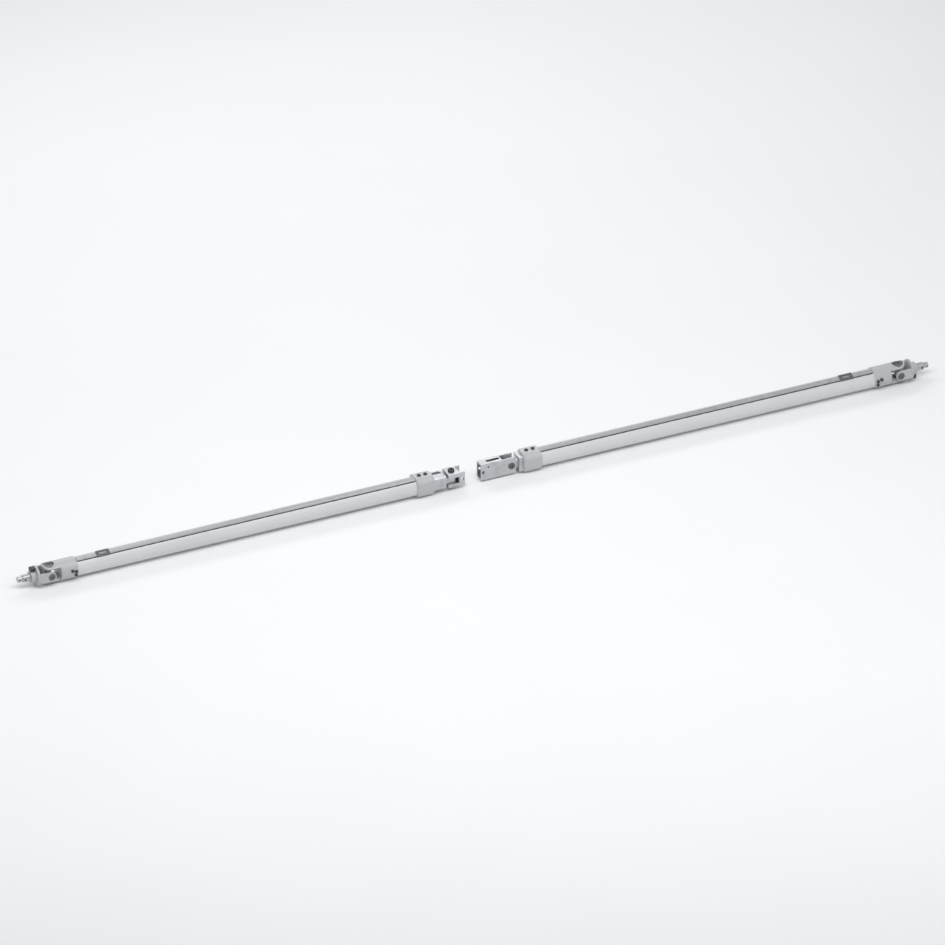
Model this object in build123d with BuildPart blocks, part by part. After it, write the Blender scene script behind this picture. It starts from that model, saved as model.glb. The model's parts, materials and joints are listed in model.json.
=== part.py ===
"""Universal joint shaft: two tube halves, a joint at each outer end and a pinned link between them.

Every piece of one half is drawn in the half's own frame: X = 0 at the tip of its stub shaft, +X
towards the middle of the shaft, +Y to the back, +Z up, with the shaft's axis on the X axis. The left
half stands as drawn. The right half is mirrored about the middle of the whole shaft, and its stub is
turned over, so that the set screw is underneath.
"""
from build123d import *
from math import sqrt
import os

# Whole shaft, in millimetres
SHAFT_LENGTH = 2543.0
RUNNING_CLEARANCE = 0.05
FREE_CLEARANCE = 0.4
EDGE_BREAK = 0.6
WIDE_EDGE_BREAK = 1.0

# Tube and the guide rail along it
TUBE_RADIUS = 25.0
TUBE_WALL = 3.0
RAIL_WIDTH = 13.0
RAIL_HEIGHT = 2.2
RAIL_TILT = 17.0
RAIL_END_GAP = 1.0
RAIL_SCREWS = 6
RAIL_SCREW_RADIUS = 1.5
RAIL_SCREW_HEAD_RADIUS = 3.0
RAIL_SCREW_HEAD_PLAY = 0.2
RAIL_SCREW_SINK = 0.1
DRIVER_SLOT_WIDTH = 0.7
DRIVER_SLOT_DEPTH = 0.6
CLIP_X = 234.0
CLIP_LENGTH = 36.0
CLIP_WIDTH = 18.0
CLIP_THICKNESS = 1.6
CLIP_SLOT = (21.6, 6.5)

# Sleeve yoke: a socket on the tube's end, with a top ear and a bottom ear
CROSS_X = 86.0
SLEEVE_RADIUS = 27.0
SLEEVE_END_X = 159.0
SOCKET_DEPTH = 38.0
EAR_HALF_WIDTH = 19.0
EAR_INNER_Z = 13.5
EAR_CHAMFER = 4.5
SLEEVE_CROTCH = 27.0
CUP_FACE_Z = 21.5
SPOT_RADIUS = 15.0
SLEEVE_CUP_RADIUS = 10.0
BOLT_RADIUS = 2.5
BOLT_HEAD_RADIUS = 4.2
BOLT_HEAD_HEIGHT = 3.2
BOLT_SEAT = 0.4
BOLT_PLACES = [(7.0, 4.0), (7.0, -18.0), (17.0, 10.0)]

# Cross
TRUNNION_RADIUS = 5.0
CROSS_CORE_RADIUS = 8.5
CUP_FLOOR = 2.0
CUP_END_PLAY = 0.3
SEAL_RADIUS = 7.2
SEAL_THICKNESS = 2.0

# Snap rings that hold the cups in
RING_PLAY = 0.2
RING_GAP_SHARE = 0.22
RING_HOLE_ANGLE = 22
SLEEVE_RING_OUTER_RADIUS = SPOT_RADIUS - RING_PLAY
SLEEVE_RING_INNER_RADIUS = 8.5
SLEEVE_RING_THICKNESS = 1.6
STUB_RING_SEAT_RADIUS = 9.9
STUB_RING_OUTER_RADIUS = STUB_RING_SEAT_RADIUS - RING_PLAY
STUB_RING_INNER_RADIUS = 6.2
STUB_RING_THICKNESS = 1.0

# Stub yoke: a round base with a front ear and a back ear
STUB_EAR_INNER_Y = 19.6
STUB_EAR_OUTER_Y = 25.6
STUB_EAR_HALF_WIDTH = 12.5
STUB_CROTCH = 31.0
STUB_BASE_RADIUS = 26.0
STUB_BASE_THICKNESS = 6.0
HUB_RADIUS = 16.0
HUB_LENGTH = 14.0
STUB_CUP_RADIUS = 8.0
STUB_CUP_RECESS = 1.2

# Stub shaft
STUB_RADIUS = 10.0
STUB_TIP_RADIUS = 7.5
STUB_TIP_LENGTH = 14.0
STUB_TIP_ROUNDING = 2.0
STUB_ROOT_RADIUS = 8.5
RELIEF_WIDTH = 1.0
RELIEF_DEPTH = 0.5
STUB_HOLE_X = 19.5
STUB_HOLE_RADIUS = 3.0
TIP_HOLE_X = 5.0
TIP_HOLE_RADIUS = 2.0
SET_SCREW_SEAT_DEPTH = 2.0
SET_SCREW_RADIUS = 4.0
SET_SCREW_HEAD = 13.0
SET_SCREW_FROM_BASE = 7.5
SET_SCREW_TOP = 26.8
SET_SCREW_NECK = 1.5

# Collar that clamps the inner end of the tube
COLLAR_RADIUS = 30.5
COLLAR_FLATS = 54.0
COLLAR_LENGTH = 48.0
COLLAR_CHAMFER = 4.0
COLLAR_SCREW_RADIUS = 3.0
COLLAR_SCREW_HEAD_RADIUS = 5.1
COLLAR_SCREW_SOCKET_DEPTH = 2.1
COLLAR_SCREW_OFFSETS = (14.0, 32.0)

# Tongue fittings at the inner ends, and the hinges that hold them
SPIGOT_LENGTH = 60.0
LEFT_COLLAR_END = 1150.0
LEFT_PIN_X = 1206.0
LEFT_SHOULDER = 22.5
LEFT_TONGUE_THICKNESS = 16.0
RIGHT_COLLAR_END = 1143.0
RIGHT_PIN_X = 1174.0
RIGHT_SHOULDER = 19.5
RIGHT_TONGUE_THICKNESS = 19.2
TONGUE_HALF_WIDTH = 13.5
NECK_WIDE = 40.0
NECK_DEEP = 36.0
NECK_CHAMFER = 3.0
LUBE_SLOT = (26.0, 12.0)
LUBE_SLOT_DEPTH = 9.0
LUBE_SLOT_Y = 7.0
PIN_RADIUS = 6.0
BUSH_RADIUS = 8.0

# Left link: a block slotted across for the left tongue and upright for the right link
BLOCK_START_X = LEFT_PIN_X - 16.0
BLOCK_END_X = LEFT_PIN_X + 30.0
BLOCK_WIDTH = 40.0
BLOCK_HEIGHT = 38.0
BLOCK_EDGE_RADIUS = 2.0
TONGUE_SLOT_END_X = LEFT_PIN_X + 14.1
MOUTH_START_X = LEFT_PIN_X + 16.6
LOCK_HOLE_RADIUS = 4.0
LOCK_FROM_END = 6.5
LINK_BOLT_HEAD_RADIUS = 8.5
LINK_BOLT_HEAD_HEIGHT = 5.0
LINK_BOLT_SOCKET_RADIUS = 4.5
LINK_BOLT_SOCKET_DEPTH = 4.0
WASHER_RADIUS = 10.5
WASHER_THICKNESS = 1.2
NUT_HEIGHT = 6.2
NUT_ACROSS_FLATS = 16.0

# Right link: a box with a fork at its inner end
GAP = 48.0
BOX_LENGTH = 96.0
BOX_WIDTH = 28.0
BOX_HEIGHT = 46.0
BOX_SIDE_WALL = 4.0
BOX_TOP_WALL = 4.0
BOX_EDGE_RADIUS = 1.5
BOX_FORK_LENGTH = 36.0
BOX_SLOT = (38.0, 9.0)
STOP_SCREW_FROM_END = 20.0
STOP_SCREW_HEIGHT = 13.0
STOP_SCREW_RADIUS = 2.5
STOP_SCREW_SINK = 0.5
STOP_SCREW_SOCKET_RADIUS = 1.4
PIN_HEAD_RADIUS = 9.0
PIN_HEAD_HEIGHT = 2.0
PIN_CENTRE_RADIUS = 2.4
PIN_CENTRE_DEPTH = 4.0
CIRCLIP_THICKNESS = 1.2
CIRCLIP_RADIUS = 8.5
CIRCLIP_MOUTH = 4.0
CIRCLIP_GROOVE_DEPTH = 0.5

# Worked out from the sizes above
MIDDLE_X = SHAFT_LENGTH / 2
TUBE_START_X = SLEEVE_END_X - SOCKET_DEPTH
BOX_START_X = BLOCK_END_X + GAP
RIGHT_HINGE_X = SHAFT_LENGTH - RIGHT_PIN_X
STUB_FACE_X = CROSS_X - STUB_CROTCH
STUB_BASE_X = STUB_FACE_X - STUB_BASE_THICKNESS
HUB_X = STUB_BASE_X - HUB_LENGTH
STUB_ROOT_END_X = STUB_BASE_X + STUB_BASE_THICKNESS / 2
SET_SCREW_X = STUB_BASE_X - SET_SCREW_FROM_BASE
RAIL_TOP = TUBE_RADIUS + RAIL_HEIGHT

TURNED_ON_THE_RIGHT = ("stub_yoke", "stub_shaft", "set_screw")

UPRIGHT_PAIR = [Location((CROSS_X, 0, 0)), Location((CROSS_X, 0, 0), (180, 0, 0))]
LEVEL_PAIR = [Location((CROSS_X, 0, 0), (90, 0, 0)), Location((CROSS_X, 0, 0), (-90, 0, 0))]


def across(x):
    """The plane square to the shaft at x: its own x runs along +Y and its own y along +Z."""
    return Plane.YZ.offset(x)


def save(piece, name):
    """Label one finished piece and write its STEP file."""
    piece.label = name
    export_step(piece, f"parts/{name}.step")
    print(f"{name}: {len(piece.solids())} solid(s), {piece.volume / 1000:.1f} cm3")


def turned_over(piece):
    """The same piece turned half a turn about the shaft's axis."""
    with BuildPart() as other:
        with Locations(Location((0, 0, 0), (180, 0, 0))):
            add(piece)
    return other.part


def mirrored(piece):
    """The same piece on the right half."""
    with BuildPart() as other:
        mirror(piece, about=Plane.YZ.offset(MIDDLE_X))
    return other.part


def repeated(piece, places):
    """Copies of one small solid, drawn at the origin, at each of the places."""
    with BuildPart() as group:
        with Locations(*places):
            add(piece)
    return group.part


def make_tube(collar_end):
    with BuildPart() as tube:
        with BuildSketch(across(TUBE_START_X)):
            Circle(TUBE_RADIUS)
            Circle(TUBE_RADIUS - TUBE_WALL, mode=Mode.SUBTRACT)
        extrude(amount=collar_end - TUBE_START_X)
        with Locations(*bolt_locations(TUBE_RADIUS)):
            Hole(BOLT_RADIUS + RUNNING_CLEARANCE, depth=2 * TUBE_WALL)
        with Locations(*rail_screw_locations(collar_end, TUBE_RADIUS)):
            Hole(RAIL_SCREW_RADIUS + RUNNING_CLEARANCE, depth=2 * TUBE_WALL)
        with Locations(*collar_screw_locations(collar_end, TUBE_RADIUS)):
            Hole(COLLAR_SCREW_RADIUS + RUNNING_CLEARANCE, depth=2 * TUBE_WALL)
    return tube.part


def bolt_locations(radius):
    """Places of the sleeve bolts on a cylinder, front and back, each with its Z pointing outwards."""
    places = []
    for from_end, angle in BOLT_PLACES:
        foot = (SLEEVE_END_X - from_end, 0, 0)
        places.append(Location(foot, (90 - angle, 0, 0)) * Location((0, 0, radius)))
        places.append(Location(foot, (angle - 90, 0, 0)) * Location((0, 0, radius)))
    return places


def rail_plane():
    """The rail's cross-section plane, turned so that its own y points out through the rail."""
    return Plane(origin=(0, 0, 0), x_dir=(0, 1, 0), z_dir=(1, 0, 0)).rotated((RAIL_TILT, 0, 0))


def rail_span(collar_end):
    start = SLEEVE_END_X + RAIL_END_GAP
    end = collar_end - COLLAR_LENGTH - RAIL_END_GAP
    return start, end


def rail_screw_locations(collar_end, radius):
    """Places of the rail screws, evenly spaced, each with its Z pointing out through the rail."""
    start, end = rail_span(collar_end)
    step = (end - start) / RAIL_SCREWS
    return [
        Location((start + step * (i + 0.5), 0, 0), (RAIL_TILT, 0, 0)) * Location((0, 0, radius))
        for i in range(RAIL_SCREWS)
    ]


def make_rail(collar_end):
    start, end = rail_span(collar_end)
    with BuildPart() as rail:
        with BuildSketch(rail_plane().offset(start)):
            with Locations((0, RAIL_TOP)):
                Rectangle(RAIL_WIDTH, TUBE_RADIUS, align=(Align.CENTER, Align.MAX))
            Circle(TUBE_RADIUS, mode=Mode.SUBTRACT)
        extrude(amount=end - start)
        with Locations(*rail_screw_locations(collar_end, RAIL_TOP)):
            CounterSinkHole(
                RAIL_SCREW_RADIUS + RUNNING_CLEARANCE,
                RAIL_SCREW_HEAD_RADIUS,
                depth=TUBE_RADIUS / 4,
            )
    return rail.part


def make_rail_screws(collar_end):
    cone = RAIL_SCREW_HEAD_RADIUS - RAIL_SCREW_RADIUS
    with BuildPart() as screw:
        with BuildSketch(Plane.XZ):
            with BuildLine():
                Polyline(
                    (0, -RAIL_SCREW_SINK),
                    (RAIL_SCREW_HEAD_RADIUS - RAIL_SCREW_HEAD_PLAY, -RAIL_SCREW_SINK),
                    (RAIL_SCREW_RADIUS, -RAIL_SCREW_SINK - cone),
                    (RAIL_SCREW_RADIUS, -RAIL_HEIGHT - TUBE_WALL),
                    (0, -RAIL_HEIGHT - TUBE_WALL),
                    close=True,
                )
            make_face()
        revolve(axis=Axis.Z)
        with BuildSketch(Plane.XY.offset(-RAIL_SCREW_SINK)):
            Rectangle(2 * RAIL_SCREW_HEAD_RADIUS, DRIVER_SLOT_WIDTH)
        extrude(amount=-DRIVER_SLOT_DEPTH, mode=Mode.SUBTRACT)
    return repeated(screw.part, rail_screw_locations(collar_end, RAIL_TOP))


def make_rail_clip():
    """A small slotted keeper that sits over the rail near the sleeve."""
    with BuildPart() as clip:
        with BuildSketch(rail_plane().offset(CLIP_X - CLIP_LENGTH / 2)):
            with Locations((0, RAIL_TOP + CLIP_THICKNESS)):
                Rectangle(CLIP_WIDTH, TUBE_RADIUS, align=(Align.CENTER, Align.MAX))
            Circle(TUBE_RADIUS, mode=Mode.SUBTRACT)
            with Locations((0, RAIL_TOP)):
                Rectangle(RAIL_WIDTH, TUBE_RADIUS, align=(Align.CENTER, Align.MAX), mode=Mode.SUBTRACT)
        extrude(amount=CLIP_LENGTH)
        top = Location((CLIP_X, 0, 0), (RAIL_TILT, 0, 0)) * Location((0, 0, RAIL_TOP + CLIP_THICKNESS))
        with BuildSketch(Plane(top)):
            SlotOverall(*CLIP_SLOT)
        extrude(amount=-CLIP_THICKNESS, mode=Mode.SUBTRACT)
    return clip.part


def make_sleeve_yoke():
    ear_tip_x = CROSS_X - EAR_HALF_WIDTH
    crotch_x = CROSS_X + SLEEVE_CROTCH
    ear_length = 2 * SLEEVE_CROTCH + EAR_HALF_WIDTH
    with BuildPart() as yoke:
        with BuildSketch(across(ear_tip_x)):
            Circle(SLEEVE_RADIUS)
        extrude(amount=SLEEVE_END_X - ear_tip_x)
        fillet(yoke.edges().sort_by(Axis.X)[-1], EDGE_BREAK)
        with BuildSketch(across(SLEEVE_END_X)):
            Circle(TUBE_RADIUS)
        extrude(amount=-SOCKET_DEPTH, mode=Mode.SUBTRACT)
        # The gap between the two ears
        with BuildSketch(Plane.XZ):
            with Locations((crotch_x, 0)):
                Rectangle(ear_length, 2 * EAR_INNER_Z, align=(Align.MAX, Align.CENTER))
        extrude(amount=SLEEVE_RADIUS, both=True, mode=Mode.SUBTRACT)
        # The sides of the ears, round at the tips
        with BuildSketch(Plane.XY):
            with Locations((crotch_x, 0)):
                Rectangle(ear_length, 3 * SLEEVE_RADIUS, align=(Align.MAX, Align.CENTER))
            with Locations((CROSS_X, 0)):
                Circle(EAR_HALF_WIDTH, mode=Mode.SUBTRACT)
                Rectangle(
                    SLEEVE_CROTCH,
                    2 * EAR_HALF_WIDTH,
                    align=(Align.MIN, Align.CENTER),
                    mode=Mode.SUBTRACT,
                )
        extrude(amount=SLEEVE_RADIUS, both=True, mode=Mode.SUBTRACT)
        # Room for the stub yoke's ears when both hinges are turned
        chamfer(yoke.faces().filter_by(Axis.Z).edges().filter_by(Axis.Y, reverse=True), EAR_CHAMFER)
        with Locations(*[place * Location((0, 0, SLEEVE_RADIUS)) for place in UPRIGHT_PAIR]):
            CounterBoreHole(
                SLEEVE_CUP_RADIUS,
                SPOT_RADIUS,
                SLEEVE_RADIUS - CUP_FACE_Z,
                depth=SLEEVE_RADIUS - EAR_INNER_Z + 1,
            )
        with Locations(*bolt_locations(SLEEVE_RADIUS)):
            Hole(BOLT_RADIUS + RUNNING_CLEARANCE, depth=SLEEVE_RADIUS - TUBE_RADIUS + 1)
    return yoke.part


def make_sleeve_bolts():
    with BuildPart() as bolt:
        with BuildSketch(Plane.XY):
            Circle(BOLT_RADIUS)
        extrude(amount=-(SLEEVE_RADIUS - TUBE_RADIUS + TUBE_WALL))
        with BuildSketch(Plane.XY.offset(BOLT_SEAT)):
            Circle(BOLT_HEAD_RADIUS)
        extrude(amount=BOLT_HEAD_HEIGHT)
        chamfer(bolt.edges().sort_by(Axis.Z)[-1], EDGE_BREAK)
        with BuildSketch(Plane.XY):
            Circle(BOLT_RADIUS)
        extrude(amount=BOLT_SEAT)
        with BuildSketch(Plane.XY.offset(BOLT_SEAT + BOLT_HEAD_HEIGHT)):
            RegularPolygon(BOLT_RADIUS, 6)
        extrude(amount=-BOLT_HEAD_HEIGHT / 2, mode=Mode.SUBTRACT)
    return repeated(bolt.part, bolt_locations(SLEEVE_RADIUS))


def make_cup(radius, inner, outer):
    """A bearing cup whose mouth is at height inner and whose floor ends at height outer."""
    with BuildPart() as cup:
        with BuildSketch(Plane.XY.offset(inner)):
            Circle(radius)
        extrude(amount=outer - inner)
        fillet(cup.edges().sort_by(Axis.Z)[-1], EDGE_BREAK)
        with BuildSketch(Plane.XY.offset(inner)):
            Circle(TRUNNION_RADIUS + RUNNING_CLEARANCE)
        extrude(amount=outer - inner - CUP_FLOOR, mode=Mode.SUBTRACT)
    return cup.part


def make_ring(outer_radius, inner_radius, base, thickness):
    """A snap ring with its gap and two small plier holes."""
    middle = (outer_radius + inner_radius) / 2
    with BuildPart() as ring:
        with BuildSketch(Plane.XY.offset(base)):
            Circle(outer_radius)
            Circle(inner_radius, mode=Mode.SUBTRACT)
            with Locations((outer_radius, 0)):
                Rectangle(2 * outer_radius, outer_radius * RING_GAP_SHARE, mode=Mode.SUBTRACT)
            with PolarLocations(middle, 2, -RING_HOLE_ANGLE, 2 * RING_HOLE_ANGLE, endpoint=True):
                Circle((outer_radius - inner_radius) / 5, mode=Mode.SUBTRACT)
        extrude(amount=thickness)
    return ring.part


def make_cross():
    upright_end = CUP_FACE_Z - CUP_FLOOR - CUP_END_PLAY
    level_end = STUB_EAR_OUTER_Y - STUB_CUP_RECESS - CUP_FLOOR - CUP_END_PLAY
    with BuildPart() as cross:
        with Locations((CROSS_X, 0, 0)):
            Sphere(CROSS_CORE_RADIUS)
        with BuildSketch(Plane.XY):
            with Locations((CROSS_X, 0)):
                Circle(TRUNNION_RADIUS)
        extrude(amount=upright_end, both=True)
        with BuildSketch(Plane.XZ):
            with Locations((CROSS_X, 0)):
                Circle(TRUNNION_RADIUS)
        extrude(amount=level_end, both=True)
        chamfer(cross.edges().filter_by(GeomType.CIRCLE).group_by(Axis.Z)[-1], EDGE_BREAK)
        chamfer(cross.edges().filter_by(GeomType.CIRCLE).group_by(Axis.Z)[0], EDGE_BREAK)
    return cross.part


def make_seals():
    """Four dust seals on the cross, one behind each bearing cup."""
    with BuildPart() as seal:
        with BuildSketch(Plane.XY):
            Circle(SEAL_RADIUS)
            Circle(TRUNNION_RADIUS, mode=Mode.SUBTRACT)
        extrude(amount=-SEAL_THICKNESS)
    upright_face = Location((0, 0, EAR_INNER_Z - FREE_CLEARANCE))
    level_face = Location((0, 0, STUB_EAR_INNER_Y - FREE_CLEARANCE))
    places = [place * upright_face for place in UPRIGHT_PAIR]
    places += [place * level_face for place in LEVEL_PAIR]
    return repeated(seal.part, places)


def make_stub_yoke():
    with BuildPart() as yoke:
        # Two ears, cut from one block that is round at the cross
        with BuildSketch(Plane.XZ):
            with Locations((CROSS_X, 0)):
                Circle(STUB_EAR_HALF_WIDTH)
                Rectangle(
                    STUB_CROTCH,
                    2 * STUB_EAR_HALF_WIDTH,
                    align=(Align.MAX, Align.CENTER),
                )
        extrude(amount=STUB_EAR_OUTER_Y, both=True)
        with BuildSketch(Plane.XZ):
            with Locations((STUB_FACE_X, 0)):
                Rectangle(4 * STUB_CROTCH, 4 * SLEEVE_RADIUS, align=(Align.MIN, Align.CENTER))
        extrude(amount=STUB_EAR_INNER_Y, both=True, mode=Mode.SUBTRACT)
        with BuildSketch(across(STUB_BASE_X)):
            Circle(STUB_BASE_RADIUS)
        extrude(amount=STUB_BASE_THICKNESS)
        chamfer(yoke.edges().filter_by(GeomType.CIRCLE).sort_by(Axis.X)[0], WIDE_EDGE_BREAK)
        with BuildSketch(across(HUB_X)):
            Circle(HUB_RADIUS)
        extrude(amount=HUB_LENGTH)
        chamfer(yoke.edges().filter_by(GeomType.CIRCLE).sort_by(Axis.X)[0], WIDE_EDGE_BREAK)
        with BuildSketch(across(HUB_X)):
            Circle(STUB_ROOT_RADIUS)
        extrude(amount=STUB_ROOT_END_X - HUB_X, mode=Mode.SUBTRACT)
        with Locations(*[place * Location((0, 0, STUB_EAR_OUTER_Y)) for place in LEVEL_PAIR]):
            CounterBoreHole(
                STUB_CUP_RADIUS,
                STUB_RING_SEAT_RADIUS,
                STUB_CUP_RECESS,
                depth=STUB_EAR_OUTER_Y - STUB_EAR_INNER_Y + 1,
            )
        with Locations((SET_SCREW_X, 0, HUB_RADIUS)):
            Hole(SET_SCREW_RADIUS, depth=HUB_RADIUS - STUB_ROOT_RADIUS + 1)
    return yoke.part


def make_stub_shaft():
    """A stepped shaft: a rounded tip, a journal, and a root held in the yoke's hub."""
    journal_end_x = HUB_X - RELIEF_WIDTH
    with BuildPart() as shaft:
        with BuildSketch(across(STUB_TIP_LENGTH)):
            Circle(STUB_RADIUS)
        extrude(amount=journal_end_x - STUB_TIP_LENGTH)
        chamfer(shaft.edges().sort_by(Axis.X)[0], WIDE_EDGE_BREAK)
        with BuildSketch(across(journal_end_x)):
            Circle(STUB_ROOT_RADIUS)
        extrude(amount=STUB_ROOT_END_X - journal_end_x)
        with BuildSketch(across(0)):
            Circle(STUB_TIP_RADIUS)
        extrude(amount=STUB_TIP_LENGTH)
        fillet(shaft.edges().sort_by(Axis.X)[0], STUB_TIP_ROUNDING)
        # The relief groove at the root of the tip
        with BuildSketch(across(STUB_TIP_LENGTH - RELIEF_WIDTH)):
            Circle(STUB_RADIUS)
            Circle(STUB_TIP_RADIUS - RELIEF_DEPTH, mode=Mode.SUBTRACT)
        extrude(amount=RELIEF_WIDTH, mode=Mode.SUBTRACT)
        with BuildSketch(Plane.XZ):
            with Locations((STUB_HOLE_X, 0)):
                Circle(STUB_HOLE_RADIUS)
            with Locations((TIP_HOLE_X, 0)):
                Circle(TIP_HOLE_RADIUS)
        extrude(amount=STUB_RADIUS, both=True, mode=Mode.SUBTRACT)
        # The seat that the set screw bears on
        with Locations((SET_SCREW_X, 0, STUB_ROOT_RADIUS)):
            Hole(SET_SCREW_RADIUS, depth=SET_SCREW_SEAT_DEPTH)
    return shaft.part


def make_set_screw():
    seat = STUB_ROOT_RADIUS - SET_SCREW_SEAT_DEPTH
    neck_top = HUB_RADIUS + SET_SCREW_NECK
    with BuildPart() as screw:
        with BuildSketch(Plane.XY.offset(seat)):
            with Locations((SET_SCREW_X, 0)):
                Circle(SET_SCREW_RADIUS)
        extrude(amount=neck_top - seat)
        with BuildSketch(Plane.XY.offset(neck_top)):
            with Locations((SET_SCREW_X, 0)):
                Rectangle(SET_SCREW_HEAD, SET_SCREW_HEAD)
        extrude(amount=SET_SCREW_TOP - neck_top)
        chamfer(screw.faces().sort_by(Axis.Z)[-1].edges(), WIDE_EDGE_BREAK)
    return screw.part


def collar_screw_locations(collar_end, radius):
    """Places of the collar screws along its top, each with its Z pointing up."""
    start = collar_end - COLLAR_LENGTH
    return [Location((start + offset, 0, radius)) for offset in COLLAR_SCREW_OFFSETS]


def make_collar(collar_end):
    """A round collar with four flats, bored for the tube."""
    start = collar_end - COLLAR_LENGTH
    with BuildPart() as collar:
        with BuildSketch(across(start)):
            Circle(COLLAR_RADIUS)
        extrude(amount=COLLAR_LENGTH)
        chamfer(collar.edges().filter_by(GeomType.CIRCLE).sort_by(Axis.X)[-1], COLLAR_CHAMFER)
        with BuildSketch(across(start)):
            Rectangle(COLLAR_FLATS, COLLAR_FLATS)
        extrude(amount=COLLAR_LENGTH, mode=Mode.INTERSECT)
        with BuildSketch(across(start)):
            Circle(TUBE_RADIUS)
        extrude(amount=COLLAR_LENGTH, mode=Mode.SUBTRACT)
        with Locations(*collar_screw_locations(collar_end, COLLAR_FLATS / 2)):
            Hole(COLLAR_SCREW_RADIUS, depth=COLLAR_FLATS / 2 - TUBE_RADIUS + 1)
    return collar.part


def make_collar_screws(collar_end):
    """Cap screws through the collar and the tube into the spigot."""
    shank = COLLAR_FLATS / 2 - TUBE_RADIUS + TUBE_WALL
    with BuildPart() as screw:
        with BuildSketch(Plane.XY):
            Circle(COLLAR_SCREW_RADIUS)
        extrude(amount=-shank)
        with BuildSketch(Plane.XY):
            Circle(COLLAR_SCREW_HEAD_RADIUS)
        extrude(amount=COLLAR_SCREW_RADIUS)
        chamfer(screw.edges().sort_by(Axis.Z)[-1], EDGE_BREAK)
        with BuildSketch(Plane.XY.offset(COLLAR_SCREW_RADIUS)):
            RegularPolygon(COLLAR_SCREW_RADIUS, 6)
        extrude(amount=-COLLAR_SCREW_SOCKET_DEPTH, mode=Mode.SUBTRACT)
    return repeated(screw.part, collar_screw_locations(collar_end, COLLAR_FLATS / 2))


def make_tongue(collar_end, shoulder, pin_x, thickness, upright):
    """Spigot in the tube, neck, and a tongue bored for the bush.

    The tongue lies flat for an upright pin, and stands on edge where upright is true. The long neck of
    the flat one has a grease pocket milled into its top.
    """
    side = Plane.XZ if upright else Plane.XY
    wide, deep = (NECK_DEEP, NECK_WIDE) if upright else (NECK_WIDE, NECK_DEEP)
    neck_end = pin_x - shoulder
    with BuildPart() as tongue:
        with BuildSketch(side):
            with Locations((pin_x, 0)):
                Circle(TONGUE_HALF_WIDTH)
                Rectangle(shoulder, 2 * TONGUE_HALF_WIDTH, align=(Align.MAX, Align.CENTER))
        extrude(amount=thickness / 2, both=True)
        with BuildSketch(across(collar_end)):
            Rectangle(wide, deep)
        extrude(amount=neck_end - collar_end)
        chamfer(tongue.edges().filter_by(Axis.X).group_by(SortBy.LENGTH)[-1], NECK_CHAMFER)
        with BuildSketch(across(collar_end - SPIGOT_LENGTH)):
            Circle(TUBE_RADIUS - TUBE_WALL)
        extrude(amount=SPIGOT_LENGTH)
        with BuildSketch(side):
            with Locations((pin_x, 0)):
                Circle(BUSH_RADIUS)
        extrude(amount=thickness, both=True, mode=Mode.SUBTRACT)
        if not upright:
            with BuildSketch(Plane.XY.offset(deep / 2)):
                with Locations(((collar_end + neck_end) / 2, LUBE_SLOT_Y)):
                    SlotOverall(*LUBE_SLOT)
            extrude(amount=-LUBE_SLOT_DEPTH, mode=Mode.SUBTRACT)
    return tongue.part


def make_bush(pin_x, thickness, upright):
    side = Plane.XZ if upright else Plane.XY
    with BuildPart() as bush:
        with BuildSketch(side):
            with Locations((pin_x, 0)):
                Circle(BUSH_RADIUS)
                Circle(PIN_RADIUS + RUNNING_CLEARANCE, mode=Mode.SUBTRACT)
        extrude(amount=thickness / 2, both=True)
    return bush.part


def make_link_block():
    slot_half = LEFT_TONGUE_THICKNESS / 2 + FREE_CLEARANCE
    mouth_half = BOX_WIDTH / 2 + FREE_CLEARANCE
    lock_x = BLOCK_END_X - LOCK_FROM_END
    with BuildPart() as block:
        with BuildSketch(across(BLOCK_START_X)):
            RectangleRounded(BLOCK_WIDTH, BLOCK_HEIGHT, BLOCK_EDGE_RADIUS)
        extrude(amount=BLOCK_END_X - BLOCK_START_X)
        chamfer(block.faces().sort_by(Axis.X)[0].edges(), WIDE_EDGE_BREAK)
        with BuildSketch(Plane.XZ):
            with Locations((TONGUE_SLOT_END_X, 0)):
                Rectangle(BLOCK_WIDTH, 2 * slot_half, align=(Align.MAX, Align.CENTER))
        extrude(amount=BLOCK_WIDTH, both=True, mode=Mode.SUBTRACT)
        with BuildSketch(Plane.XY):
            with Locations((MOUTH_START_X, 0)):
                Rectangle(BLOCK_WIDTH, 2 * mouth_half, align=(Align.MIN, Align.CENTER))
        extrude(amount=BLOCK_HEIGHT, both=True, mode=Mode.SUBTRACT)
        with BuildSketch(Plane.XY):
            with Locations((LEFT_PIN_X, 0)):
                Circle(PIN_RADIUS)
        extrude(amount=BLOCK_HEIGHT, both=True, mode=Mode.SUBTRACT)
        with BuildSketch(Plane.XZ):
            with Locations((lock_x, 0)):
                Circle(LOCK_HOLE_RADIUS)
        extrude(amount=BLOCK_WIDTH, both=True, mode=Mode.SUBTRACT)
    return block.part


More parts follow.
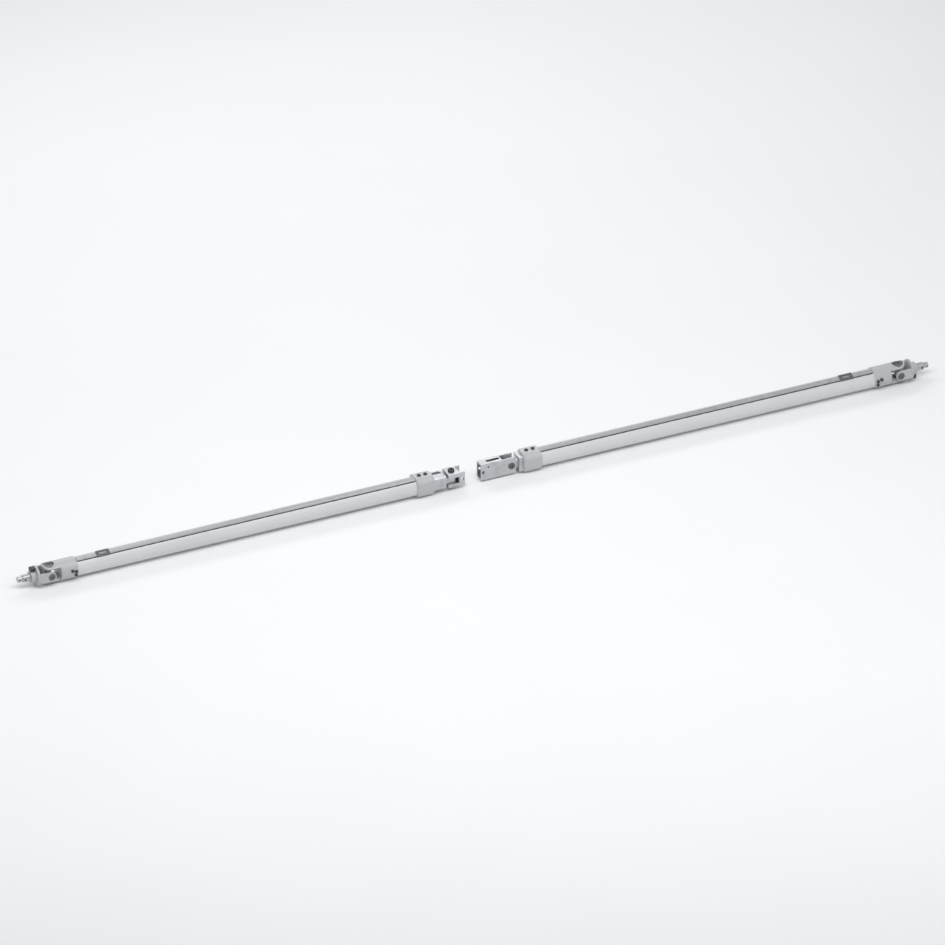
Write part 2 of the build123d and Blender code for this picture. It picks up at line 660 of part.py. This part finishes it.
def make_link_bolt():
    top = BLOCK_HEIGHT / 2
    bottom = -top - WASHER_THICKNESS - NUT_HEIGHT
    with BuildPart() as bolt:
        with BuildSketch(Plane.XY.offset(bottom)):
            with Locations((LEFT_PIN_X, 0)):
                Circle(PIN_RADIUS)
        extrude(amount=top - bottom)
        chamfer(bolt.edges().sort_by(Axis.Z)[0], EDGE_BREAK)
        with BuildSketch(Plane.XY.offset(top)):
            with Locations((LEFT_PIN_X, 0)):
                Circle(LINK_BOLT_HEAD_RADIUS)
        extrude(amount=LINK_BOLT_HEAD_HEIGHT)
        fillet(bolt.edges().sort_by(Axis.Z)[-1], WIDE_EDGE_BREAK)
        with BuildSketch(Plane.XY.offset(top + LINK_BOLT_HEAD_HEIGHT)):
            with Locations((LEFT_PIN_X, 0)):
                RegularPolygon(LINK_BOLT_SOCKET_RADIUS, 6)
        extrude(amount=-LINK_BOLT_SOCKET_DEPTH, mode=Mode.SUBTRACT)
    return bolt.part


def make_link_washer():
    with BuildPart() as washer:
        with BuildSketch(Plane.XY.offset(-BLOCK_HEIGHT / 2)):
            with Locations((LEFT_PIN_X, 0)):
                Circle(WASHER_RADIUS)
                Circle(PIN_RADIUS, mode=Mode.SUBTRACT)
        extrude(amount=-WASHER_THICKNESS)
    return washer.part


def make_link_nut():
    with BuildPart() as nut:
        with BuildSketch(Plane.XY.offset(-BLOCK_HEIGHT / 2 - WASHER_THICKNESS)):
            with Locations((LEFT_PIN_X, 0)):
                RegularPolygon(NUT_ACROSS_FLATS / sqrt(3), 6)
                Circle(PIN_RADIUS, mode=Mode.SUBTRACT)
        extrude(amount=-NUT_HEIGHT)
    return nut.part


def make_link_box():
    end_x = BOX_START_X + BOX_LENGTH
    inner_width = BOX_WIDTH - 2 * BOX_SIDE_WALL
    inner_height = BOX_HEIGHT - 2 * BOX_TOP_WALL
    with BuildPart() as box:
        with BuildSketch(across(BOX_START_X)):
            RectangleRounded(BOX_WIDTH, BOX_HEIGHT, BOX_EDGE_RADIUS)
            Rectangle(inner_width, inner_height, mode=Mode.SUBTRACT)
        extrude(amount=BOX_LENGTH)
        with BuildSketch(Plane.XY):
            with Locations((end_x - BOX_FORK_LENGTH, 0)):
                Rectangle(BOX_LENGTH, inner_width, align=(Align.MIN, Align.CENTER))
            with Locations((BOX_START_X + BOX_SLOT[0], 0)):
                SlotOverall(*BOX_SLOT)
        extrude(amount=BOX_HEIGHT, both=True, mode=Mode.SUBTRACT)
        with BuildSketch(Plane.XZ):
            with Locations((RIGHT_HINGE_X, 0)):
                Circle(PIN_RADIUS)
            with Locations((BOX_START_X + LOCK_FROM_END, 0)):
                Circle(LOCK_HOLE_RADIUS)
        extrude(amount=BOX_WIDTH, both=True, mode=Mode.SUBTRACT)
        with BuildSketch(Plane.XZ.offset(BOX_WIDTH / 2)):
            with Locations((BOX_START_X + STOP_SCREW_FROM_END, STOP_SCREW_HEIGHT)):
                Circle(STOP_SCREW_RADIUS)
        extrude(amount=-BOX_SIDE_WALL, mode=Mode.SUBTRACT)
    return box.part


def make_stop_screw():
    """A socket set screw in the front wall of the box."""
    end_face = Plane.XZ.offset(BOX_WIDTH / 2 - STOP_SCREW_SINK)
    with BuildPart() as screw:
        with BuildSketch(end_face):
            with Locations((BOX_START_X + STOP_SCREW_FROM_END, STOP_SCREW_HEIGHT)):
                Circle(STOP_SCREW_RADIUS)
        extrude(amount=STOP_SCREW_SINK - BOX_SIDE_WALL)
        with BuildSketch(end_face):
            with Locations((BOX_START_X + STOP_SCREW_FROM_END, STOP_SCREW_HEIGHT)):
                RegularPolygon(STOP_SCREW_SOCKET_RADIUS, 6)
        extrude(amount=-BOX_SIDE_WALL / 2, mode=Mode.SUBTRACT)
    return screw.part


def make_link_pin():
    """The level pin, with its head at the front and its groove end at the back."""
    back = BOX_WIDTH / 2 + 2 * CIRCLIP_THICKNESS
    with BuildPart() as pin:
        with BuildSketch(Plane.XZ.offset(BOX_WIDTH / 2)):
            with Locations((RIGHT_HINGE_X, 0)):
                Circle(PIN_RADIUS)
        extrude(amount=-(BOX_WIDTH / 2 + back))
        chamfer(pin.edges().sort_by(Axis.Y)[-1], EDGE_BREAK)
        with BuildSketch(Plane.XZ.offset(-BOX_WIDTH / 2)):
            with Locations((RIGHT_HINGE_X, 0)):
                Circle(PIN_RADIUS)
                Circle(PIN_RADIUS - CIRCLIP_GROOVE_DEPTH, mode=Mode.SUBTRACT)
        extrude(amount=-CIRCLIP_THICKNESS, mode=Mode.SUBTRACT)
        with BuildSketch(Plane.XZ.offset(BOX_WIDTH / 2)):
            with Locations((RIGHT_HINGE_X, 0)):
                Circle(PIN_HEAD_RADIUS)
        extrude(amount=PIN_HEAD_HEIGHT)
        fillet(pin.edges().sort_by(Axis.Y)[0], EDGE_BREAK)
        with BuildSketch(Plane.XZ.offset(BOX_WIDTH / 2 + PIN_HEAD_HEIGHT)):
            with Locations((RIGHT_HINGE_X, 0)):
                Circle(PIN_CENTRE_RADIUS)
        extrude(amount=-PIN_CENTRE_DEPTH, mode=Mode.SUBTRACT)
    return pin.part


def make_link_circlip():
    with BuildPart() as clip:
        with BuildSketch(Plane.XZ.offset(-BOX_WIDTH / 2)):
            with Locations((RIGHT_HINGE_X, 0)):
                Circle(CIRCLIP_RADIUS)
                Circle(PIN_RADIUS - CIRCLIP_GROOVE_DEPTH, mode=Mode.SUBTRACT)
            with Locations((RIGHT_HINGE_X, -PIN_RADIUS)):
                Rectangle(CIRCLIP_MOUTH, CIRCLIP_RADIUS, mode=Mode.SUBTRACT)
        extrude(amount=-CIRCLIP_THICKNESS)
    return clip.part


def half_pieces(collar_end):
    """Every piece that both halves have."""
    stub_cup_face = STUB_EAR_OUTER_Y - STUB_CUP_RECESS
    sleeve_cup = make_cup(SLEEVE_CUP_RADIUS, EAR_INNER_Z, CUP_FACE_Z)
    stub_cup = make_cup(STUB_CUP_RADIUS, STUB_EAR_INNER_Y, stub_cup_face)
    sleeve_ring = make_ring(
        SLEEVE_RING_OUTER_RADIUS, SLEEVE_RING_INNER_RADIUS, CUP_FACE_Z, SLEEVE_RING_THICKNESS
    )
    stub_ring = make_ring(
        STUB_RING_OUTER_RADIUS, STUB_RING_INNER_RADIUS, stub_cup_face, STUB_RING_THICKNESS
    )
    return {
        "tube": make_tube(collar_end),
        "guide_rail": make_rail(collar_end),
        "rail_screws": make_rail_screws(collar_end),
        "rail_clip": make_rail_clip(),
        "sleeve_yoke": make_sleeve_yoke(),
        "sleeve_bolts": make_sleeve_bolts(),
        "sleeve_cups": repeated(sleeve_cup, UPRIGHT_PAIR),
        "sleeve_snap_rings": repeated(sleeve_ring, UPRIGHT_PAIR),
        "cross": make_cross(),
        "cross_seals": make_seals(),
        "stub_yoke": make_stub_yoke(),
        "stub_cups": repeated(stub_cup, LEVEL_PAIR),
        "stub_snap_rings": repeated(stub_ring, LEVEL_PAIR),
        "stub_shaft": make_stub_shaft(),
        "set_screw": make_set_screw(),
        "collar": make_collar(collar_end),
        "collar_screws": make_collar_screws(collar_end),
    }


os.makedirs("parts", exist_ok=True)

for name, piece in half_pieces(LEFT_COLLAR_END).items():
    save(piece, f"left_{name}")
for name, piece in half_pieces(RIGHT_COLLAR_END).items():
    if name in TURNED_ON_THE_RIGHT:
        piece = turned_over(piece)
    save(mirrored(piece), f"right_{name}")

left_hinge = (LEFT_PIN_X, LEFT_TONGUE_THICKNESS, False)
right_hinge = (RIGHT_PIN_X, RIGHT_TONGUE_THICKNESS, True)
save(make_tongue(LEFT_COLLAR_END, LEFT_SHOULDER, *left_hinge), "left_tongue")
save(mirrored(make_tongue(RIGHT_COLLAR_END, RIGHT_SHOULDER, *right_hinge)), "right_tongue")
save(make_bush(*left_hinge), "left_tongue_bush")
save(mirrored(make_bush(*right_hinge)), "right_tongue_bush")

save(make_link_block(), "link_block")
save(make_link_bolt(), "link_bolt")
save(make_link_washer(), "link_washer")
save(make_link_nut(), "link_nut")
save(make_link_box(), "link_box")
save(make_stop_screw(), "link_stop_screw")
save(make_link_pin(), "link_pin")
save(make_link_circlip(), "link_circlip")
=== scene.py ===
import json
import math

import bmesh
import bpy
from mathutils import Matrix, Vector


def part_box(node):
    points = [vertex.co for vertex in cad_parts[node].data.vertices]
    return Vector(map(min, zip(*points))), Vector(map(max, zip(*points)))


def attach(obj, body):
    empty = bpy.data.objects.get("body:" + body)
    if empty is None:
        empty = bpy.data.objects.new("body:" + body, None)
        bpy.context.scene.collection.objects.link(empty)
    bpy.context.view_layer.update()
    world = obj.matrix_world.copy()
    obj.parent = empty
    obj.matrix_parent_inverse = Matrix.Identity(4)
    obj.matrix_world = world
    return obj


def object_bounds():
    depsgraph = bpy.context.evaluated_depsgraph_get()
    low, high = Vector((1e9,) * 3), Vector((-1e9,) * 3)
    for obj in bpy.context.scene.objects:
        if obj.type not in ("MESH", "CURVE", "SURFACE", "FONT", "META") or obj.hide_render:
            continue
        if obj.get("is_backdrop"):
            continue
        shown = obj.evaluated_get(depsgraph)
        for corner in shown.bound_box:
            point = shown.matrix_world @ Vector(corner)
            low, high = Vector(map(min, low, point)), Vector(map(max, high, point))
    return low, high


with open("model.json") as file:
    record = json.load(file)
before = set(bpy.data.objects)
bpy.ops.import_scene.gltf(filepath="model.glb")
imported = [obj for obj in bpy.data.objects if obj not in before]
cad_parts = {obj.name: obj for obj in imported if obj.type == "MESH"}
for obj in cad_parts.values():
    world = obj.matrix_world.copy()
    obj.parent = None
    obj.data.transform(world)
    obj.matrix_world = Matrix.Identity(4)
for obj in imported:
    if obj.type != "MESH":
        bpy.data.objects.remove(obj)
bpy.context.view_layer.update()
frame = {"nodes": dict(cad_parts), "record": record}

# Camera: the viewing direction in degrees, the width that it takes in and how far its aim
# lies below and to the left of the shaft's middle, in metres. The drawing is a parallel one,
# so the lens is long and stands far off.
AZIMUTH = -25.0
ELEVATION = 30.5
VIEW_WIDTH = 2.392
VIEW_DROP = 0.002
VIEW_SHIFT = 0.005
LENS_MM = 1400.0

# Floor: half its width, and its gap below the shaft, in metres
FLOOR_REACH = 40.0
FLOOR_GAP = 0.0002

# Shared with the CAD model: the rail's turn away from the tube's top, the rail's width and
# the cross's distance from the stub's tip, in metres
RAIL_TILT = math.radians(17.0)
RAIL_WIDTH = 0.013
CROSS_FROM_TIP = 0.086

# Black sealant beads, which also stand in for painted shade in the creases along the rail's feet:
# the radius and the distance between rings in metres, the sides of a ring, and as shares of the
# radius the flattening, the distance outside the rail's edge and the thin ends
SHADE_SEALANT_RADIUS = 0.0012
SHADE_SEALANT_STEP = 0.004
SHADE_SEALANT_SIDES = 8
SHADE_SEALANT_FLATNESS = 0.9
SHADE_SEALANT_OUTSET = 0.4
SHADE_SEALANT_END = 0.4

# Grease nipple: its lean above the shaft's axis, its foot's distance from the cross's centre
# (just inside the cross's core), the sides of a ring, the width of its rounded edges and its
# rings (height above the foot, radius, whether the ring is the hexagon), in metres
NIPPLE_RISE = math.radians(32.0)
NIPPLE_FOOT = 0.0080
NIPPLE_SIDES = 24
NIPPLE_EDGE = 0.0002
NIPPLE_OUTLINE = [
    (0.0, 0.0024, False),
    (0.0006, 0.0034, True),
    (0.0036, 0.0034, True),
    (0.0040, 0.0024, False),
    (0.0062, 0.0018, False),
    (0.0072, 0.0018, False),
    (0.0078, 0.0027, False),
    (0.0092, 0.0030, False),
    (0.0102, 0.0024, False),
    (0.0106, 0.0010, False),
]


# Node helpers

class Shader:
    """A small builder for one procedural material."""

    def __init__(self, name, color, metallic=0.0, roughness=0.5):
        self.material = bpy.data.materials.new(name)
        self.material.use_nodes = True
        self.tree = self.material.node_tree
        self.bsdf = self.tree.nodes["Principled BSDF"]
        self.bsdf.inputs["Base Color"].default_value = (*color, 1.0)
        self.bsdf.inputs["Metallic"].default_value = metallic
        self.bsdf.inputs["Roughness"].default_value = roughness
        self.coords = self.tree.nodes.new("ShaderNodeTexCoord")

    def set(self, socket, value):
        self.bsdf.inputs[socket].default_value = value

    def link(self, source, target):
        self.tree.links.new(source, target)

    def drive(self, socket, source):
        """Feed an output into one of the surface's inputs."""
        self.link(source, self.bsdf.inputs[socket])

    def stretched(self, scale):
        """Object coordinates in metres, multiplied by scale along each axis."""
        mapping = self.tree.nodes.new("ShaderNodeMapping")
        mapping.inputs["Scale"].default_value = scale
        self.link(self.coords.outputs["Object"], mapping.inputs["Vector"])
        return mapping.outputs["Vector"]

    def noise(self, scale, detail=4.0, stretch=(1, 1, 1)):
        """Noise whose features are about 1 / scale metres across."""
        node = self.tree.nodes.new("ShaderNodeTexNoise")
        node.inputs["Scale"].default_value = scale
        node.inputs["Detail"].default_value = detail
        self.link(self.stretched(stretch), node.inputs["Vector"])
        return node.outputs["Fac"]

    def cells(self, scale):
        """Rounded cells about 1 / scale metres across."""
        node = self.tree.nodes.new("ShaderNodeTexVoronoi")
        node.inputs["Scale"].default_value = scale
        self.link(self.stretched((1, 1, 1)), node.inputs["Vector"])
        return node.outputs["Distance"]

    def ramp(self, factor, stops):
        """A ramp through (position, grey value or colour) stops."""
        node = self.tree.nodes.new("ShaderNodeValToRGB")
        elements = node.color_ramp.elements
        while len(elements) < len(stops):
            elements.new(0.5)
        for element, (position, stop) in zip(elements, stops):
            color = stop if isinstance(stop, tuple) else (stop, stop, stop)
            element.position = position
            element.color = (*color, 1.0)
        self.link(factor, node.inputs["Fac"])
        return node.outputs["Color"]

    def mix(self, factor, low, high):
        """Blend two colours, or two colour outputs, by a factor output."""
        node = self.tree.nodes.new("ShaderNodeMix")
        node.data_type = "RGBA"
        self.link(factor, node.inputs["Factor"])
        for value, socket in ((low, node.inputs["A"]), (high, node.inputs["B"])):
            if isinstance(value, tuple):
                socket.default_value = (*value, 1.0)
            else:
                self.link(value, socket)
        return node.outputs["Result"]

    def between(self, factor, low, high):
        """Map a factor from 0..1 to low..high."""
        node = self.tree.nodes.new("ShaderNodeMapRange")
        node.inputs["To Min"].default_value = low
        node.inputs["To Max"].default_value = high
        self.link(factor, node.inputs["Value"])
        return node.outputs["Result"]

    def edges(self, width):
        """1 within about width of a sharp edge, in metres, and 0 on plain surfaces."""
        rounded = self.tree.nodes.new("ShaderNodeBevel")
        rounded.samples = 8
        rounded.inputs["Radius"].default_value = width
        surface = self.tree.nodes.new("ShaderNodeNewGeometry")
        agreement = self.tree.nodes.new("ShaderNodeVectorMath")
        agreement.operation = "DOT_PRODUCT"
        self.link(rounded.outputs["Normal"], agreement.inputs[0])
        self.link(surface.outputs["Normal"], agreement.inputs[1])
        return self.ramp(agreement.outputs["Value"], [(0.90, 1.0), (0.98, 0.0)])

    def product(self, first, second):
        """Multiply two value outputs."""
        node = self.tree.nodes.new("ShaderNodeMath")
        node.operation = "MULTIPLY"
        self.link(first, node.inputs[0])
        self.link(second, node.inputs[1])
        return node.outputs["Value"]

    def soften(self, radius):
        """Round the look of sharp corners by radius, in metres."""
        node = self.tree.nodes.new("ShaderNodeBevel")
        node.samples = 4
        node.inputs["Radius"].default_value = radius
        self.link(node.outputs["Normal"], self.bsdf.inputs["Normal"])

    def bump(self, height, strength, distance):
        """Raise the surface by a height output, on top of any bump or softening before it."""
        node = self.tree.nodes.new("ShaderNodeBump")
        node.inputs["Strength"].default_value = strength
        node.inputs["Distance"].default_value = distance
        self.link(height, node.inputs["Height"])
        previous = self.bsdf.inputs["Normal"]
        if previous.is_linked:
            self.link(previous.links[0].from_socket, node.inputs["Normal"])
        self.link(node.outputs["Normal"], previous)


def shade(color, amount):
    """A colour made darker or lighter by a factor."""
    return tuple(min(1.0, c * amount) for c in color)


# Materials

def enamel(name, color, primer):
    """Satin enamel: faint orange peel, a little handling grime and paint rubbed off the edges."""
    s = Shader(name, color, metallic=0.0, roughness=0.38)
    s.set("Coat Weight", 0.25)
    s.set("Coat Roughness", 0.22)
    s.soften(radius=0.0008)
    cloud = s.noise(scale=9.0, detail=5.0)
    tone = s.mix(cloud, shade(color, 0.83), shade(color, 0.92))
    streaks = s.noise(scale=11.0, detail=6.0, stretch=(0.3, 1, 1))
    grime = s.ramp(streaks, [(0.52, 0.0), (0.78, 0.3)])
    dirty = s.mix(grime, tone, shade(color, 0.72))
    chips = s.ramp(s.noise(scale=420.0, detail=6.0), [(0.52, 0.0), (0.58, 0.8)])
    worn = s.product(s.edges(width=0.0012), chips)
    s.drive("Base Color", s.mix(worn, dirty, primer))
    s.drive("Roughness", s.between(s.noise(scale=24.0, detail=5.0), low=0.32, high=0.46))
    s.bump(s.noise(scale=700.0, detail=2.0), strength=0.03, distance=0.0002)
    return s.material


def machined(name, color, grain):
    """Bright machined steel: fine tool lines along the grain, smudges and a few scratches."""
    s = Shader(name, color, metallic=1.0, roughness=0.4)
    s.set("Anisotropic", 0.35)
    s.soften(radius=0.0005)
    lines = s.noise(scale=1.0, detail=3.0, stretch=grain)
    smudge = s.noise(scale=45.0, detail=5.0)
    tone = s.mix(lines, shade(color, 0.74), shade(color, 0.96))
    stained = s.mix(s.ramp(smudge, [(0.50, 0.0), (0.72, 0.45)]), tone, shade(color, 0.55))
    s.drive("Base Color", stained)
    s.drive("Roughness", s.between(smudge, low=0.32, high=0.52))
    s.bump(lines, strength=0.16, distance=0.0001)
    across_grain = tuple(0.31 * scale for scale in reversed(grain))
    scratches = s.noise(scale=1.0, detail=2.0, stretch=across_grain)
    s.bump(scratches, strength=0.04, distance=0.0001)
    return s.material


def oxide(name, color):
    """Black-oxide or phosphate finish: near-black, slightly mottled, rubbed bright on the edges."""
    s = Shader(name, color, metallic=0.85, roughness=0.42)
    s.soften(radius=0.0004)
    bare_steel = (0.36, 0.36, 0.37)
    mottle = s.noise(scale=520.0, detail=6.0)
    tone = s.mix(mottle, shade(color, 0.7), shade(color, 1.7))
    rubbed = s.ramp(s.noise(scale=260.0, detail=4.0), [(0.40, 0.0), (0.60, 0.8)])
    wear = s.product(s.edges(width=0.0007), rubbed)
    s.drive("Base Color", s.mix(wear, tone, bare_steel))
    s.drive("Roughness", s.between(mottle, low=0.34, high=0.56))
    s.bump(mottle, strength=0.12, distance=0.0001)
    return s.material


def zinc(name, color):
    """Zinc plate with its faint blue and yellow tints."""
    s = Shader(name, color, metallic=1.0, roughness=0.3)
    blue = (0.62, 0.66, 0.72)
    yellow = (0.76, 0.72, 0.60)
    tint = s.ramp(s.noise(scale=150.0, detail=3.0), [(0.3, blue), (0.5, color), (0.7, yellow)])
    s.drive("Base Color", tint)
    s.drive("Roughness", s.between(s.noise(scale=600.0, detail=4.0), low=0.22, high=0.42))
    s.bump(s.cells(scale=1400.0), strength=0.06, distance=0.0001)
    return s.material


def bronze(name, color):
    """Sintered bronze: fine pores and darker oil stains."""
    s = Shader(name, color, metallic=1.0, roughness=0.36)
    stain = s.noise(scale=110.0, detail=5.0)
    s.drive("Base Color", s.mix(stain, shade(color, 0.55), shade(color, 1.1)))
    s.drive("Roughness", s.between(stain, low=0.28, high=0.5))
    s.bump(s.cells(scale=2200.0), strength=0.15, distance=0.0001)
    return s.material


def seal_rubber(name, color):
    """Matt black rubber with a little dust."""
    s = Shader(name, color, metallic=0.0, roughness=0.62)
    dust_color = (0.14, 0.13, 0.12)
    dust = s.ramp(s.noise(scale=240.0, detail=6.0), [(0.5, 0.0), (0.8, 0.5)])
    s.drive("Base Color", s.mix(dust, color, dust_color))
    s.drive("Roughness", s.between(s.noise(scale=320.0, detail=3.0), low=0.5, high=0.75))
    s.bump(s.noise(scale=1500.0, detail=3.0), strength=0.2, distance=0.0001)
    return s.material


def make_materials():
    """One material for each slot of the record, based on the record's colour."""
    entries = frame["record"]["materials"]
    colors = {entry["slot"]: tuple(entry["base_color"][:3]) for entry in entries}
    tube_primer = (0.30, 0.29, 0.28)
    fitting_primer = (0.28, 0.27, 0.26)
    along_shaft = (18.0, 2600.0, 2600.0)
    turned = (3200.0, 60.0, 60.0)
    return {
        "tube_steel": enamel("tube_enamel", colors["tube_steel"], tube_primer),
        "forged_paint": enamel("fitting_enamel", colors["forged_paint"], fitting_primer),
        "rail_steel": machined("drawn_rail_steel", colors["rail_steel"], along_shaft),
        "machined_steel": machined("turned_steel", colors["machined_steel"], turned),
        # The cups' near-black is partly their black-oxide finish and partly painted shade of the
        # deep recess at the cross.
        "cup_steel": oxide("dark_cup_steel_and_recess_shade", colors["cup_steel"]),
        "spring_steel": oxide("phosphated_spring_steel", colors["spring_steel"]),
        "fastener_black": oxide("black_oxide", colors["fastener_black"]),
        "fastener_zinc": zinc("zinc_plate", colors["fastener_zinc"]),
        "bronze": bronze("bush_bronze", colors["bronze"]),
        "seal_rubber": seal_rubber("seal_rubber", colors["seal_rubber"]),
    }


def dress_cad_nodes(materials):
    """Give every CAD node the material of its record slot."""
    slots = {entry["node"]: entry["material_slot"] for entry in frame["record"]["subparts"]}
    for node, slot in slots.items():
        obj = frame["nodes"][node]
        if not obj.material_slots:
            obj.data.materials.append(None)
        for material_slot in obj.material_slots:
            material_slot.material = materials[slot]


# Added pieces

def link_piece(name, shape, material, body, smooth=True):
    """Turn a bmesh into a piece that rides on a CAD body."""
    mesh = bpy.data.meshes.new(name)
    bmesh.ops.recalc_face_normals(shape, faces=shape.faces)
    for face in shape.faces:
        face.smooth = smooth
    shape.to_mesh(mesh)
    shape.free()
    mesh.materials.append(material)
    piece = bpy.data.objects.new(name, mesh)
    bpy.context.scene.collection.objects.link(piece)
    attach(piece, body)
    return piece


def add_loft(shape, rings):
    """Join closed rings of points into one closed skin."""
    loops = [[shape.verts.new(point) for point in ring] for ring in rings]
    for near, far in zip(loops, loops[1:]):
        for i in range(len(near)):
            j = (i + 1) % len(near)
            shape.faces.new((near[i], near[j], far[j], far[i]))
    shape.faces.new(loops[0])
    shape.faces.new(loops[-1])


def bead_radius(x, turn):
    """The radius of a bead at x, with a slow and a quick ripple along it."""
    slow = 0.12 * math.sin(x * 210.0)
    quick = 0.08 * math.sin(x * 530.0 + turn * 9.0)
    return SHADE_SEALANT_RADIUS * (1.0 + slow + quick)


def bead_ring(x, turn, tube_radius, size):
    """One ring of a bead of sealant and painted crease shade that lies on the tube at a turn away
    from its top.
    """
    ring = []
    for k in range(SHADE_SEALANT_SIDES):
        angle = 2 * math.pi * k / SHADE_SEALANT_SIDES
        reach = tube_radius + size * math.cos(angle) * SHADE_SEALANT_FLATNESS
        lean = turn + size * math.sin(angle) / tube_radius
        ring.append((x, -reach * math.sin(lean), reach * math.cos(lean)))
    return ring


def make_sealant_and_crease_shade(side, material):
    """Two uneven beads of black sealant, one along each foot of the guide rail, whose black also
    paints the shade in the creases there.
    """
    low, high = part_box(f"{side}_guide_rail")
    tube_low, tube_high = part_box(f"{side}_tube")
    tube_radius = (tube_high.z - tube_low.z) / 2
    half_turn = math.asin((RAIL_WIDTH / 2 + SHADE_SEALANT_RADIUS * SHADE_SEALANT_OUTSET) / tube_radius)
    count = int((high.x - low.x) / SHADE_SEALANT_STEP)
    shape = bmesh.new()
    for turn in (RAIL_TILT - half_turn, RAIL_TILT + half_turn):
        rings = []
        for i in range(count + 1):
            x = low.x + (high.x - low.x) * i / count
            size = bead_radius(x, turn) * (SHADE_SEALANT_END if i in (0, count) else 1.0)
            rings.append(bead_ring(x, turn, tube_radius, size))
        add_loft(shape, rings)
    # The beads' black is partly sealant and partly painted shade in the creases beside the rail.
    link_piece(f"{side}_rail_sealant_and_crease_shade", shape, material, f"{side}_shaft")


def nipple_ring(height, radius, hexagon):
    """One ring of the nipple, as points about the nipple's own axis."""
    ring = []
    for k in range(NIPPLE_SIDES):
        angle = 2 * math.pi * k / NIPPLE_SIDES
        offset = (angle + math.pi / 6) % (math.pi / 3) - math.pi / 6
        reach = radius / math.cos(offset) if hexagon else radius
        ring.append(Vector((reach * math.cos(angle), reach * math.sin(angle), NIPPLE_FOOT + height)))
    return ring


def make_grease_nipple(side, material):
    """A grease nipple on the cross, leaning out towards the stub."""
    tip_low, tip_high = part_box(f"{side}_stub_shaft")
    outwards = -1 if side == "left" else 1
    tip_x = tip_low.x if side == "left" else tip_high.x
    centre = Vector((tip_x - outwards * CROSS_FROM_TIP, 0, 0))
    axis = Vector((outwards * math.cos(NIPPLE_RISE), 0, math.sin(NIPPLE_RISE)))
    turn = axis.to_track_quat("Z", "Y")
    rings = []
    for height, radius, hexagon in NIPPLE_OUTLINE:
        ring = nipple_ring(height, radius, hexagon)
        rings.append([centre + turn @ point for point in ring])
    shape = bmesh.new()
    add_loft(shape, rings)
    name = f"{side}_grease_nipple"
    piece = link_piece(name, shape, material, f"{side}_cross", smooth=False)
    bevel = piece.modifiers.new("round", "BEVEL")
    bevel.width = NIPPLE_EDGE
    bevel.segments = 2


# Stage

def make_stage():
    """Lay a plain floor under the shaft, and return the shaft's middle."""
    low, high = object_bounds()
    middle = (low + high) / 2
    mesh = bpy.data.meshes.new("floor")
    shape = bmesh.new()
    bmesh.ops.create_grid(shape, x_segments=1, y_segments=1, size=FLOOR_REACH)
    shape.to_mesh(mesh)
    shape.free()
    floor = bpy.data.objects.new("floor", mesh)
    floor.location = (middle.x, middle.y, low.z - FLOOR_GAP)
    bpy.context.scene.collection.objects.link(floor)
    s = Shader("floor_paint", (0.93, 0.93, 0.93), metallic=0.0, roughness=0.8)
    tone = s.mix(s.noise(scale=2.0, detail=3.0), (0.92, 0.92, 0.92), (0.95, 0.95, 0.95))
    s.drive("Base Color", tone)
    mesh.materials.append(s.material)
    floor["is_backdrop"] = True
    return middle


def make_light(name, middle, offset, size, power):
    """A rectangular lamp at an offset from the shaft's middle, facing it; power is in watts."""
    data = bpy.data.lights.new(name, "AREA")
    data.shape = "RECTANGLE"
    data.size, data.size_y = size
    data.energy = power
    lamp = bpy.data.objects.new(name, data)
    lamp.location = middle + Vector(offset)
    lamp.rotation_euler = (-Vector(offset)).to_track_quat("-Z", "Y").to_euler()
    bpy.context.scene.collection.objects.link(lamp)


def make_lights(middle):
    """Soft light from above, the front and the back, and a pale surround."""
    make_light("key_light", middle, offset=(-0.5, -1.2, 3.2), size=(5.0, 1.6), power=74.0)
    make_light("fill_light", middle, offset=(1.8, -2.6, 1.4), size=(3.0, 1.6), power=3.5)
    make_light("back_light", middle, offset=(0.4, 2.6, 2.0), size=(3.6, 0.8), power=26.0)
    world = bpy.data.worlds.new("studio")
    world.use_nodes = True
    background = world.node_tree.nodes["Background"]
    background.inputs["Color"].default_value = (0.95, 0.97, 1.0, 1.0)
    background.inputs["Strength"].default_value = 0.50
    bpy.context.scene.world = world


def make_camera(middle):
    """The camera at the drawing's viewing angle, aimed just beside the shaft's middle."""
    azimuth = math.radians(AZIMUTH)
    elevation = math.radians(ELEVATION)
    back = Vector((
        math.sin(azimuth) * math.cos(elevation),
        -math.cos(azimuth) * math.cos(elevation),
        math.sin(elevation),
    ))
    data = bpy.data.cameras.new("camera")
    data.lens = LENS_MM
    distance = VIEW_WIDTH * data.lens / data.sensor_width
    data.clip_end = 2 * distance
    camera = bpy.data.objects.new("camera", data)
    rotation = back.to_track_quat("Z", "Y")
    up = rotation @ Vector((0, 1, 0))
    right = rotation @ Vector((1, 0, 0))
    aim = Vector((middle.x, 0, 0)) - up * VIEW_DROP - right * VIEW_SHIFT
    camera.location = aim + back * distance
    camera.rotation_euler = rotation.to_euler()
    bpy.context.scene.collection.objects.link(camera)
    bpy.context.scene.camera = camera


bpy.context.scene.view_settings.view_transform = "Standard"
middle = make_stage()
make_camera(middle)
make_lights(middle)
materials = make_materials()
dress_cad_nodes(materials)
for side in ("left", "right"):
    # Black beads beside each rail: sealant, and painted shade in the creases there.
    make_sealant_and_crease_shade(side, materials["seal_rubber"])
    make_grease_nipple(side, materials["fastener_zinc"])
